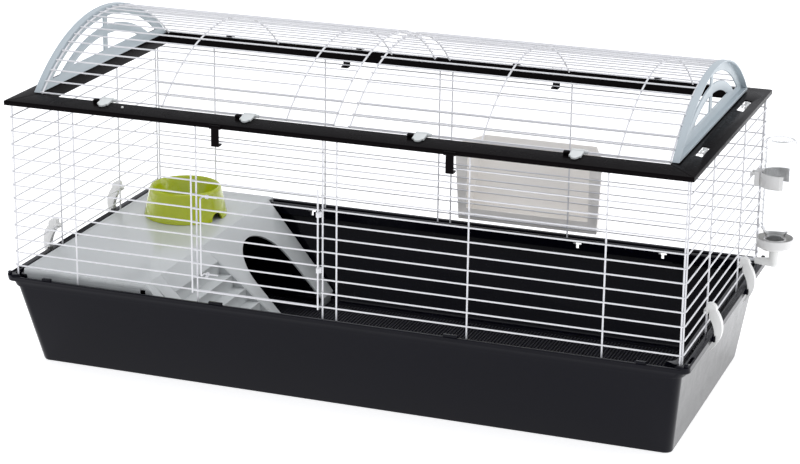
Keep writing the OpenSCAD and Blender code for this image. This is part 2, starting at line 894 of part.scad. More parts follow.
// The bottle hangs neck down, so its neck is at the bottom
module bottle() {
    shoulder = 18;
    color(clear) translate([bottle_at[0], bottle_at[1], bottle_z]) rotate_extrude($fn = 96) difference() {
        polygon([
            [0, -neck_h], [neck_r, -neck_h], [neck_r, 0], [bottle_r, shoulder],
            [bottle_r, bottle_h - 6], [bottle_r - 6, bottle_h], [0, bottle_h]
        ]);
        polygon([
            [0, -neck_h - 1], [neck_r - glass_t, -neck_h - 1], [neck_r - glass_t, 0],
            [bottle_r - glass_t, shoulder], [bottle_r - glass_t, bottle_h - 7],
            [bottle_r - 7, bottle_h - glass_t], [0, bottle_h - glass_t]
        ]);
    }
}

cap_r = 32;
cap_low = 222;
cap_h = 20;
seal_t = 2;

// A wide cup-shaped cap around the neck
module bottle_cap() {
    color(deck_grey) translate([bottle_at[0], bottle_at[1], cap_low]) rotate_extrude($fn = 96) polygon([
        [5, 0], [22, 0], [cap_r, 6], [cap_r, cap_h], [cap_r - 2, cap_h], [cap_r - 2, 7],
        [neck_r + 4, 5], [neck_r + 3, 5], [neck_r + 3, 18], [neck_r + 0.3, 18], [neck_r + 0.3, 3], [5, 3]
    ]);
}

module bottle_seal() {
    color("#e8e4dc") translate([bottle_at[0], bottle_at[1], cap_low + 3])
        difference() {
            cylinder(r = neck_r, h = seal_t, $fn = 96);
            translate([0, 0, -1]) cylinder(r = 7, h = seal_t + 2);
        }
}

tube_r = 4;
tube_bore = 3;
spout_r = 8.5;
spout_l = 44;

// A hollow elbow under the cap that points into the cage
module bottle_spout() {
    color(clip_white) translate([bottle_at[0], bottle_at[1], tube_z]) difference() {
        union() {
            cylinder(r = spout_r, h = cap_low - tube_z);
            sphere(spout_r);
            rotate([0, -90, 0]) cylinder(r1 = spout_r, r2 = tube_r + 1.5, h = spout_l - 12);
        }
        cylinder(r = 5, h = 40);
        rotate([0, -90, 0]) cylinder(r = tube_r, h = spout_l);
    }
}

tube_in = 12;
tube_end = 64;
turned_r = 2.15;

// Steel drinking tube with its lip turned in over the ball
module spout_tube() {
    tube_l = tube_end - tube_in;
    color(steel) translate([bottle_at[0], bottle_at[1], tube_z]) rotate([0, -90, 0])
        translate([0, 0, tube_in]) rotate_extrude() polygon([
            [tube_bore, 0], [tube_r, 0], [tube_r, tube_l - 2], [tube_r - 1.1, tube_l],
            [turned_r, tube_l - 0.4], [tube_bore, tube_l - 3]
        ]);
}

ball_r = 2.5;
ball_back = 2;

module spout_ball() {
    color(steel) translate([bottle_at[0] - tube_end + ball_back, bottle_at[1], tube_z]) sphere(ball_r);
}

// ---------------------------------------------------------------- nodes

tub();
corner_knobs();
wall_front();
wall_front_bridge();
wall_back();
wall_left();
wall_right();
front_rail();
back_rail();
left_rail();
right_rail();
end_plate_left();
end_plate_right();
roof_hoops_left();
roof_hoops_right();
roof_wires_left();
roof_wires_right();
roof_hinge_clips();
latch_sockets();
roof_latch_1();
roof_latch_2();
roof_latch_3();
roof_latch_4();
wall_clip_pins();
wall_clip_front_left();
wall_clip_front_right();
wall_clip_back_left();
wall_clip_back_right();
tub_clip_catches();
tub_clip_left_front();
tub_clip_left_back();
tub_clip_right_front();
tub_clip_right_back();
front_door();
door_bolt();
door_hinge_eyes();
platform();
food_bowl();
hay_rack();
bottle_holder();
bottle();
bottle_cap();
bottle_seal();
bottle_spout();
spout_tube();
spout_ball();
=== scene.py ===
"""The looks of a long indoor rabbit cage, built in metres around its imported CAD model."""
import json
import logging
import math
from dataclasses import dataclass, field
from enum import Enum
from typing import Iterable, Sequence

import bmesh
import bpy
from mathutils import Matrix, Vector

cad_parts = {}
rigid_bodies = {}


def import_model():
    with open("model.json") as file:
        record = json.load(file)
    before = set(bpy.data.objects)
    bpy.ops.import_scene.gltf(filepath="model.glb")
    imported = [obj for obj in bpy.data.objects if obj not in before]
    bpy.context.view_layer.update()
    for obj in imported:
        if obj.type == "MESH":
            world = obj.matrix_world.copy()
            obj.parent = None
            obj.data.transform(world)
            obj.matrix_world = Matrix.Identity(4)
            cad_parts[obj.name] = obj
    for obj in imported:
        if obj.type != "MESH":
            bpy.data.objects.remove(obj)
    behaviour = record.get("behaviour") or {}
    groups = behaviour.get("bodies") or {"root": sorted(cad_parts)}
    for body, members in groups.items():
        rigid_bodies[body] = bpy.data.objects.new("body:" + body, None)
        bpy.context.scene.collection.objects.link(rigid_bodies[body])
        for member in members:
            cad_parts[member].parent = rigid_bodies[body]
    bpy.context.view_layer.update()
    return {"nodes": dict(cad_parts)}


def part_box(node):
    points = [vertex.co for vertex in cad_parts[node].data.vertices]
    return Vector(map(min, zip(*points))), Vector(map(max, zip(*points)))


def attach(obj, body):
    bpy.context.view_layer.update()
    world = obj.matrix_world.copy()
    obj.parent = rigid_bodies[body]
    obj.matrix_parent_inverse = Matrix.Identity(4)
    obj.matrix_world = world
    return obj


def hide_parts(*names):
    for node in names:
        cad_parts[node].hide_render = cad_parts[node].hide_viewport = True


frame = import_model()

MM = 0.001
NOISE_LOW, NOISE_HIGH = 0.3, 0.7
CLOUD_TO_DRIFT = 6
WAVES_PER_METRE = 18.0
SKIN_DEPTH = 0.004
SHARP_EDGE = 40.0
ON_AXIS = 1e-9
BESIDE_CORNER = 4 * MM
BENT_WIRE = 1.3 * MM
LOG = logging.getLogger("rabbit_cage")
Point = tuple[float, float, float]
Pair = tuple[float, float]


# ------------------------------------------------------------------ finishes


class Slot(Enum):
    """The record's material slots."""

    TUB = "tub_black"
    RAIL = "rail_black"
    WIRE = "wire_white"
    PLATE = "plate_blue"
    DECK = "deck_grey"
    BOWL = "bowl_lime"
    RACK = "rack_beige"
    LATCH = "latch_grey"
    CLIP = "clip_white"
    STEEL = "steel"
    SEAL = "seal_rubber"
    BOTTLE = "bottle_clear"


class NodeBench:
    """Adds nodes to one material's tree and joins them."""

    def __init__(self, material: bpy.types.Material) -> None:
        """Start with an empty tree and one Principled shader."""
        material.use_nodes = True
        self.tree = material.node_tree
        self.tree.nodes.clear()
        self.out = self.add("ShaderNodeOutputMaterial")
        self.shader = self.add("ShaderNodeBsdfPrincipled")
        self.link(self.shader.outputs["BSDF"], self.out.inputs["Surface"])
        self.place = self.add("ShaderNodeTexCoord").outputs["Object"]

    def add(self, kind: str, **settings: object) -> bpy.types.Node:
        """Add a node of one kind and set its properties."""
        node = self.tree.nodes.new(kind)
        for key, value in settings.items():
            setattr(node, key, value)
        return node

    def link(self, source: bpy.types.NodeSocket, target: bpy.types.NodeSocket) -> None:
        """Join two sockets."""
        self.tree.links.new(source, target)

    def noise(self, scale: float, detail: float = 3.0, stretch: Point = (1, 1, 1)) -> bpy.types.NodeSocket:
        """A noise on Object coordinates.

        Args:
            scale: cells per metre.
            detail: octaves of the noise.
            stretch: factors on the three axes, for a drawn or brushed look.

        Returns:
            The noise's value socket.
        """
        mapping = self.add("ShaderNodeMapping")
        mapping.inputs["Scale"].default_value = stretch
        self.link(self.place, mapping.inputs["Vector"])
        noise = self.add("ShaderNodeTexNoise")
        noise.inputs["Scale"].default_value = scale
        noise.inputs["Detail"].default_value = detail
        self.link(mapping.outputs["Vector"], noise.inputs["Vector"])
        return noise.outputs["Fac"]

    def spread(self, value: bpy.types.NodeSocket, low: float, high: float) -> bpy.types.NodeSocket:
        """Map a noise's middle range onto low to high."""
        ranged = self.add("ShaderNodeMapRange")
        ranged.inputs["From Min"].default_value = NOISE_LOW
        ranged.inputs["From Max"].default_value = NOISE_HIGH
        ranged.inputs["To Min"].default_value = low
        ranged.inputs["To Max"].default_value = high
        self.link(value, ranged.inputs["Value"])
        return ranged.outputs["Result"]

    def bump(self, height: bpy.types.NodeSocket, distance: float, strength: float = 1.0) -> None:
        """Give the shader a bump; distance is in metres."""
        bump = self.add("ShaderNodeBump")
        bump.inputs["Distance"].default_value = distance
        bump.inputs["Strength"].default_value = strength
        self.link(height, bump.inputs["Height"])
        if self.shader.inputs["Normal"].is_linked:
            self.link(self.shader.inputs["Normal"].links[0].from_socket, bump.inputs["Normal"])
        self.link(bump.outputs["Normal"], self.shader.inputs["Normal"])


@dataclass(frozen=True)
class Finish:
    """A moulded or coated surface: its colour drifts a little and its skin has a fine grain.

    Attributes:
        slot: the record's slot that the finish belongs to.
        colour: base colour, linear.
        drift: share by which the colour and the gloss vary from place to place.
        drift_scale: cells of that drift per metre.
        roughness: mean roughness.
        grain: cells of the fine grain per metre.
        grain_depth: depth of the grain in metres.
        waviness: depth of the slow moulding waves in metres.
        specular: how strongly the plain skin shines.
        coat: weight of the clear gloss over it.
        coat_roughness: roughness of that gloss.
        metallic: 1 for bare metal, 0 for everything else.
        subsurface: share of the light that passes through the skin.
        transmission: 1 for a clear part.
        name: the material's name, where a slot has more than one.
    """

    slot: Slot
    colour: Point
    roughness: float = 0.4
    drift: float = 0.05
    drift_scale: float = 7.0
    grain: float = 1400.0
    grain_depth: float = 0.00004
    waviness: float = 0.0
    specular: float = 0.5
    coat: float = 0.0
    coat_roughness: float = 0.08
    metallic: float = 0.0
    subsurface: float = 0.0
    transmission: float = 0.0
    ior: float = 1.5
    name: str = ""

    def material(self) -> bpy.types.Material:
        """The finish as a material, made once."""
        label = self.name or self.slot.value
        found = bpy.data.materials.get("finish_" + label)
        if found:
            return found
        made = bpy.data.materials.new("finish_" + label)
        made.diffuse_color = (*self.colour, 1.0)
        self.paint(NodeBench(made))
        return made

    def paint(self, bench: NodeBench) -> None:
        """Set the shader's own sockets, then the drift and the grain."""
        values = {
            "Metallic": self.metallic,
            "IOR": self.ior,
            "Specular IOR Level": self.specular,
            "Coat Weight": self.coat,
            "Coat Roughness": self.coat_roughness,
            "Subsurface Weight": self.subsurface,
            "Subsurface Scale": SKIN_DEPTH,
            "Transmission Weight": self.transmission,
        }
        for key, value in values.items():
            bench.shader.inputs[key].default_value = value
        slow = bench.noise(self.drift_scale)
        tone = bench.add("ShaderNodeMix", data_type="RGBA")
        tone.inputs["A"].default_value = (*[c * (1 - self.drift) for c in self.colour], 1)
        tone.inputs["B"].default_value = (*[min(c * (1 + self.drift), 1) for c in self.colour], 1)
        bench.link(bench.spread(slow, 0.0, 1.0), tone.inputs["Factor"])
        bench.link(tone.outputs["Result"], bench.shader.inputs["Base Color"])
        cloud = bench.noise(self.drift_scale * CLOUD_TO_DRIFT, 5.0)
        low, high = self.roughness * (1 - 2 * self.drift), self.roughness * (1 + 2 * self.drift)
        bench.link(bench.spread(cloud, low, high), bench.shader.inputs["Roughness"])
        if self.waviness:
            bench.bump(bench.noise(WAVES_PER_METRE, 2.0), self.waviness)
        bench.bump(bench.noise(self.grain, 2.0), self.grain_depth, 0.6)


@dataclass(frozen=True)
class BrushedFinish(Finish):
    """Drawn steel, with fine lines along X."""

    def paint(self, bench: NodeBench) -> None:
        """The plain finish with drawn lines over it."""
        super().paint(bench)
        bench.bump(bench.noise(900.0, 2.0, (0.05, 1, 1)), 0.00003, 0.7)


TUB_BLACK = Finish(
    Slot.TUB, (0.002, 0.002, 0.0052), 0.16, grain=2200, grain_depth=0.000005, waviness=0.00005, specular=0.12
)
FLOOR_BLACK = Finish(Slot.TUB, (0.022, 0.022, 0.026), 0.42, grain=900, specular=0.4, name="floor_black")
RAIL_BLACK = Finish(Slot.RAIL, (0.004, 0.003, 0.0034), 0.26, grain=2600, grain_depth=0.000006, specular=0.025)
WIRE_WHITE = Finish(Slot.WIRE, (0.8, 0.8, 0.82), 0.32, 0.02, grain=900, grain_depth=0.00003, coat=0.3)
PLATE_BLUE = Finish(Slot.PLATE, (0.45, 0.51, 0.545), 0.34, 0.03, grain=1800, waviness=0.0001)
DECK_GREY = Finish(
    Slot.DECK, (0.56, 0.58, 0.58), 0.24, 0.03, grain=2400, grain_depth=0.00002, coat=0.35, waviness=0.0003
)
BOWL_LIME = Finish(
    Slot.BOWL, (0.46, 0.53, 0.002), 0.16, 0.03, grain=600, grain_depth=0.00001, coat=0.45, subsurface=0.05
)
RACK_BEIGE = Finish(Slot.RACK, (0.95, 0.92, 0.88), 0.42, 0.03, grain=1600)
LATCH_GREY = Finish(Slot.LATCH, (0.68, 0.71, 0.7), 0.3, 0.03, grain=1800, coat=0.2)
CLIP_WHITE = Finish(Slot.CLIP, (0.8, 0.8, 0.78), 0.3, 0.02, grain=1800, coat=0.2)
HOLDER_PALE = Finish(Slot.DECK, (0.74, 0.735, 0.72), 0.28, 0.03, grain=2000, coat=0.3, name="holder_pale")
STEEL = BrushedFinish(Slot.STEEL, (0.63, 0.64, 0.66), 0.18, 0.04, grain=900, metallic=1.0)
SEAL = Finish(Slot.SEAL, (0.76, 0.74, 0.68), 0.7, 0.04, grain=1200)
BOTTLE_CLEAR = Finish(
    Slot.BOTTLE, (0.94, 0.945, 0.95), 0.03, 0.01, grain=60, grain_depth=0.0002, transmission=1.0, ior=1.4
)


# ------------------------------------------------------------------ mesh tools


def add_object(name: str, data: bpy.types.ID) -> bpy.types.Object:
    """Put a mesh, a camera or a light in the scene as an object at the origin."""
    made = bpy.data.objects.new(name, data)
    bpy.context.scene.collection.objects.link(made)
    return made


def from_faces(name: str, points: Sequence[Point], faces: Sequence[Sequence[int]]) -> bpy.types.Object:
    """An object made of listed points and faces, with its normals turned outwards."""
    mesh = bpy.data.meshes.new(name)
    mesh.from_pydata([tuple(p) for p in points], [], [tuple(f) for f in faces])
    bench = bmesh.new()
    bench.from_mesh(mesh)
    bmesh.ops.remove_doubles(bench, verts=bench.verts, dist=1e-7)
    bmesh.ops.recalc_face_normals(bench, faces=bench.faces)
    bench.to_mesh(mesh)
    bench.free()
    return add_object(name, mesh)


def settle(piece: bpy.types.Object) -> bpy.types.Object:
    """Apply every modifier of a piece by taking its evaluated mesh."""
    bpy.context.view_layer.update()
    graph = bpy.context.evaluated_depsgraph_get()
    mesh = bpy.data.meshes.new_from_object(piece.evaluated_get(graph), depsgraph=graph)
    piece.modifiers.clear()
    piece.data = mesh
    return piece


def shade(piece: bpy.types.Object, angle: float = 32.0) -> bpy.types.Object:
    """Smooth shading, with edges sharper than an angle in degrees left crisp."""
    bench = bmesh.new()
    bench.from_mesh(piece.data)
    limit = math.radians(angle)
    for edge in bench.edges:
        edge.smooth = len(edge.link_faces) == 2 and edge.calc_face_angle(0.0) < limit
    for face in bench.faces:
        face.smooth = True
    bench.to_mesh(piece.data)
    bench.free()
    return piece


def round_edges(piece: bpy.types.Object, width: float, segments: int = 3) -> bpy.types.Object:
    """Round a piece's sharp edges.

    Args:
        piece: the object.
        width: the radius of the round edges, in metres.
        segments: strips across a round edge.

    Returns:
        The same object, with the modifier applied.
    """
    bevel = piece.modifiers.new("round_edges", "BEVEL")
    bevel.width = width
    bevel.segments = segments
    bevel.limit_method = "ANGLE"
    bevel.angle_limit = math.radians(SHARP_EDGE)
    bevel.use_clamp_overlap = True
    bevel.harden_normals = False
    return shade(settle(piece))


def cut(piece: bpy.types.Object, tool: bpy.types.Object) -> bpy.types.Object:
    """Cut one object with another and delete the tool."""
    boolean = piece.modifiers.new("cut", "BOOLEAN")
    boolean.operation = "DIFFERENCE"
    boolean.solver = "EXACT"
    boolean.object = tool
    settle(piece)
    if not piece.data.polygons:
        raise ValueError(f"{piece.name} was lost in a cut")
    bpy.data.objects.remove(tool)
    return piece


def joined(name: str, pieces: Sequence[bpy.types.Object]) -> bpy.types.Object:
    """One object that holds the meshes of several."""
    bench = bmesh.new()
    for piece in pieces:
        bench.from_mesh(piece.data)
    mesh = bpy.data.meshes.new(name)
    bench.to_mesh(mesh)
    bench.free()
    for piece in pieces:
        bpy.data.objects.remove(piece)
    return add_object(name, mesh)


def block(low: Point, high: Point) -> bpy.types.Object:
    """A box between two corners, as a cutter or the blank of a small piece."""
    xs, ys, zs = zip(low, high)
    points = [(x, y, z) for x in xs for y in ys for z in zs]
    faces = [(0, 1, 3, 2), (4, 6, 7, 5), (0, 4, 5, 1), (2, 3, 7, 6), (0, 2, 6, 4), (1, 5, 7, 3)]
    return from_faces("block", points, faces)


def extruded(outline: Sequence[Pair], axis: int, low: float, high: float) -> bpy.types.Object:
    """An outline pushed along one axis.

    Args:
        outline: points in the other two axes, in their order x, y, z.
        axis: 0, 1 or 2 for X, Y or Z.
        low: where the push begins.
        high: where it ends.

    Returns:
        A closed prism.
    """
    def at(pair: Pair, depth: float) -> Point:
        """One point of the prism."""
        spot = list(pair)
        spot.insert(axis, depth)
        return tuple(spot)

    count = len(outline)
    points = [at(p, low) for p in outline] + [at(p, high) for p in outline]
    faces = [tuple(range(count)), tuple(range(2 * count - 1, count - 1, -1))]
    faces += [(k, (k + 1) % count, count + (k + 1) % count, count + k) for k in range(count)]
    return from_faces("extruded", points, faces)


def lathe(profile: Sequence[Pair], centre: Point, name: str, turns: int = 64) -> bpy.types.Object:
    """A profile of radius and height turned about an upright axis.

    Args:
        profile: a closed ring of points, each a radius and a height; it may touch the axis.
        centre: the axis's place.
        name: the object's name.
        turns: flats round the axis.

    Returns:
        The turned solid. A side of the profile that lies on the axis makes no faces.
    """
    points, faces = [], []
    count = len(profile)
    for k in range(turns):
        angle = 2 * math.pi * k / turns
        across, away = math.cos(angle), math.sin(angle)
        points += [(centre[0] + radius * across, centre[1] + radius * away, centre[2] + height)
                   for radius, height in profile]
    for k in range(turns):
        here, there = k * count, (k + 1) % turns * count
        for j in range(count):
            nxt = (j + 1) % count
            if max(profile[j][0], profile[nxt][0]) > ON_AXIS:
                faces.append((here + j, there + j, there + nxt, here + nxt))
    return from_faces(name, points, faces)


def millimetres(pairs: Iterable[Pair]) -> list[Pair]:
    """Pairs given in millimetres, in metres."""
    return [(a * MM, b * MM) for a, b in pairs]


def arc(centre: Pair, radius: float, start: float, end: float, steps: int) -> list[Pair]:
    """Points of an arc, angles in degrees."""
    turn = [math.radians(start + (end - start) * k / steps) for k in range(steps + 1)]
    return [(centre[0] + radius * math.cos(a), centre[1] + radius * math.sin(a)) for a in turn]


def copy_of(node: str, name: str) -> bpy.types.Object:
    """A CAD node's mesh as a new object, its loose triangles merged into clean faces."""
    mesh = frame["nodes"][node].data.copy()
    mesh.materials.clear()
    bench = bmesh.new()
    bench.from_mesh(mesh)
    bmesh.ops.remove_doubles(bench, verts=bench.verts, dist=2e-6)
    bmesh.ops.dissolve_limit(bench, angle_limit=math.radians(0.6), verts=bench.verts, edges=bench.edges)
    bench.to_mesh(mesh)
    bench.free()
    return add_object(name, mesh)


def softened(node: str, width: float, segments: int = 3) -> bpy.types.Object:
    """A CAD node's shape with its moulded edges rounded."""
    return round_edges(copy_of(node, node + "_moulding"), width, segments)


def fit(piece: bpy.types.Object, body: str, finish: Finish, *nodes: str) -> bpy.types.Object:
    """Dress a finished piece and set it on its body.

    Args:
        piece: the object, with its modifiers applied.
        body: the CAD body that it moves with.
        finish: its finish.
        nodes: the CAD nodes that it stands for.

    Returns:
        The same object.
    """
    piece.data.materials.clear()
    piece.data.materials.append(finish.material())
    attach(piece, body)
    if nodes:
        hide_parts(*nodes)
    LOG.info("%s: %d faces on %s", piece.name, len(piece.data.polygons), body)
    return piece


def moulded(node: str, body: str, finish: Finish, width: float, segments: int = 3) -> None:
    """Dress a CAD node's own shape, its edges rounded, and let it stand for the node."""
    fit(softened(node, width, segments), body, finish, node)


# ------------------------------------------------------------------ wire work


class WireTree:
    """The Geometry Nodes tree that turns drawn lines into welded wire.

    Edges of the input become round wires and loose points become balls: weld nuggets where wires
    cross, and the domes of their ends. The point attribute `gauge` mixes the two radii along a line,
    and `ball` is a loose point's size as a multiple of the thin wire's radius.
    """

    def __init__(self) -> None:
        """Build the tree and keep its sockets' identifiers."""
        self.tree = bpy.data.node_groups.new("welded_wire", "GeometryNodeTree")
        self.ids: dict[str, str] = {}
        self._socket("Lines", "NodeSocketGeometry")
        self._socket("Thin radius", "NodeSocketFloat")
        self._socket("Thick radius", "NodeSocketFloat")
        self._socket("Sides", "NodeSocketInt")
        self._socket("Finish", "NodeSocketMaterial")
        self.tree.interface.new_socket("Wires", in_out="OUTPUT", socket_type="NodeSocketGeometry")
        self._wire_up()

    def _socket(self, name: str, kind: str) -> None:
        """Add a named input."""
        self.ids[name] = self.tree.interface.new_socket(name, in_out="INPUT", socket_type=kind).identifier

    def _attribute(self, name: str) -> bpy.types.NodeSocket:
        """Read a float attribute of the input's points."""
        node = self.tree.nodes.new("GeometryNodeInputNamedAttribute")
        node.data_type = "FLOAT"
        node.inputs["Name"].default_value = name
        return node.outputs["Attribute"]

    def _math(self, kind: str, a: bpy.types.NodeSocket, b: object) -> bpy.types.NodeSocket:
        """One sum on two values."""
        node = self.tree.nodes.new("ShaderNodeMath")
        node.operation = kind
        self.tree.links.new(a, node.inputs[0])
        if isinstance(b, bpy.types.NodeSocket):
            self.tree.links.new(b, node.inputs[1])
        else:
            node.inputs[1].default_value = b
        return node.outputs[0]

    def _wire_up(self) -> None:
        """Join the tree's nodes."""
        new, link = self.tree.nodes.new, self.tree.links.new
        given = new("NodeGroupInput").outputs
        loose = self._math("GREATER_THAN", self._attribute("ball"), 0.0)
        parts = new("GeometryNodeSeparateGeometry")
        parts.domain = "POINT"
        link(given["Lines"], parts.inputs["Geometry"])
        link(loose, parts.inputs["Selection"])

        curve = new("GeometryNodeMeshToCurve")
        link(parts.outputs["Inverted"], curve.inputs["Mesh"])
        extra = self._math("SUBTRACT", given["Thick radius"], given["Thin radius"])
        share = self._math("MULTIPLY", extra, self._attribute("gauge"))
        radius = self._math("ADD", share, given["Thin radius"])
        ring = new("GeometryNodeCurvePrimitiveCircle")
        ring.inputs["Radius"].default_value = 1.0
        link(given["Sides"], ring.inputs["Resolution"])
        skin = new("GeometryNodeCurveToMesh")
        skin.inputs["Fill Caps"].default_value = True
        link(curve.outputs["Curve"], skin.inputs["Curve"])
        link(ring.outputs["Curve"], skin.inputs["Profile Curve"])
        link(radius, skin.inputs["Scale"])

        ball = new("GeometryNodeMeshIcoSphere")
        ball.inputs["Radius"].default_value = 1.0
        ball.inputs["Subdivisions"].default_value = 2
        dots = new("GeometryNodeInstanceOnPoints")
        link(parts.outputs["Selection"], dots.inputs["Points"])
        link(ball.outputs["Mesh"], dots.inputs["Instance"])
        size = self._math("MULTIPLY", self._attribute("ball"), given["Thin radius"])
        link(size, dots.inputs["Scale"])

        both = new("GeometryNodeJoinGeometry")
        link(skin.outputs["Mesh"], both.inputs["Geometry"])
        link(dots.outputs["Instances"], both.inputs["Geometry"])
        smooth = new("GeometryNodeSetShadeSmooth")
        link(both.outputs["Geometry"], smooth.inputs["Geometry"])
        real = new("GeometryNodeRealizeInstances")
        link(smooth.outputs["Geometry"], real.inputs["Geometry"])
        dress = new("GeometryNodeSetMaterial")
        link(real.outputs["Geometry"], dress.inputs["Geometry"])
        link(given["Finish"], dress.inputs["Material"])
        link(dress.outputs["Geometry"], new("NodeGroupOutput").inputs["Wires"])


@dataclass
class WireWork:
    """Lines drawn for one welded piece, and what the tree makes of them.

    Attributes:
        name: the piece's name.
        thin: radius of the long wires.
        thick: radius of the uprights and hoops.
        sides: flats round a wire.
        edges: the pairs of points that a wire joins.
        gauge: 1 at each point of a thick wire, 0 at the others.
        ball: size of the ball at each loose point, 0 at the others.
    """

    name: str
    thin: float = 1.3 * MM
    thick: float = 1.5 * MM
    sides: int = 10
    points: list[Point] = field(default_factory=list)
    edges: list[tuple[int, int]] = field(default_factory=list)
    gauge: list[float] = field(default_factory=list)
    ball: list[float] = field(default_factory=list)

    def line(self, path: Sequence[Point], thick: bool = False, domes: bool = True) -> None:
        """Draw one wire along a path.

        Args:
            path: its points in order.
            thick: whether it has the uprights' radius.
            domes: whether its ends are domed.
        """
        base = len(self.points)
        self.points += list(path)
        self.gauge += [float(thick)] * len(path)
        self.ball += [0.0] * len(path)
        self.edges += [(base + k, base + k + 1) for k in range(len(path) - 1)]
        if domes:
            for end in (path[0], path[-1]):
                self.dot(end, self.thick if thick else self.thin)

    def dot(self, at: Point, radius: float) -> None:
        """Put a ball of a radius at a point."""
        self.points.append(at)
        self.gauge.append(0.0)
        self.ball.append(radius / self.thin)

    def build(self, tree: WireTree, finish: Finish) -> bpy.types.Object:
        """Run the tree over the drawn lines and keep its result as a plain mesh."""
        mesh = bpy.data.meshes.new(self.name)
        mesh.from_pydata(self.points, self.edges, [])
        for key, values in (("gauge", self.gauge), ("ball", self.ball)):
            mesh.attributes.new(key, "FLOAT", "POINT").data.foreach_set("value", values)
        piece = add_object(self.name, mesh)
        nodes = piece.modifiers.new("welded_wire", "NODES")
        nodes.node_group = tree.tree
        nodes[tree.ids["Thin radius"]] = self.thin
        nodes[tree.ids["Thick radius"]] = self.thick
        nodes[tree.ids["Sides"]] = self.sides
        nodes[tree.ids["Finish"]] = finish.material()
        return settle(piece)


def bent(corners: Sequence[Point], radius: float, steps: int = 5) -> list[Point]:
    """A path through corners, each rounded to a bend of a radius."""
    path = [Vector(corners[0])]
    for before, here, after in zip(corners, corners[1:], corners[2:]):
        a, b, c = Vector(before), Vector(here), Vector(after)
        reach = min(radius, (a - b).length / 2, (c - b).length / 2)
        start, end = b + (a - b).normalized() * reach, b + (c - b).normalized() * reach
        for k in range(steps + 1):
            t = k / steps
            path.append(start * (1 - t) ** 2 + b * 2 * t * (1 - t) + end * t * t)
    path.append(Vector(corners[-1]))
    return [tuple(p) for p in path]


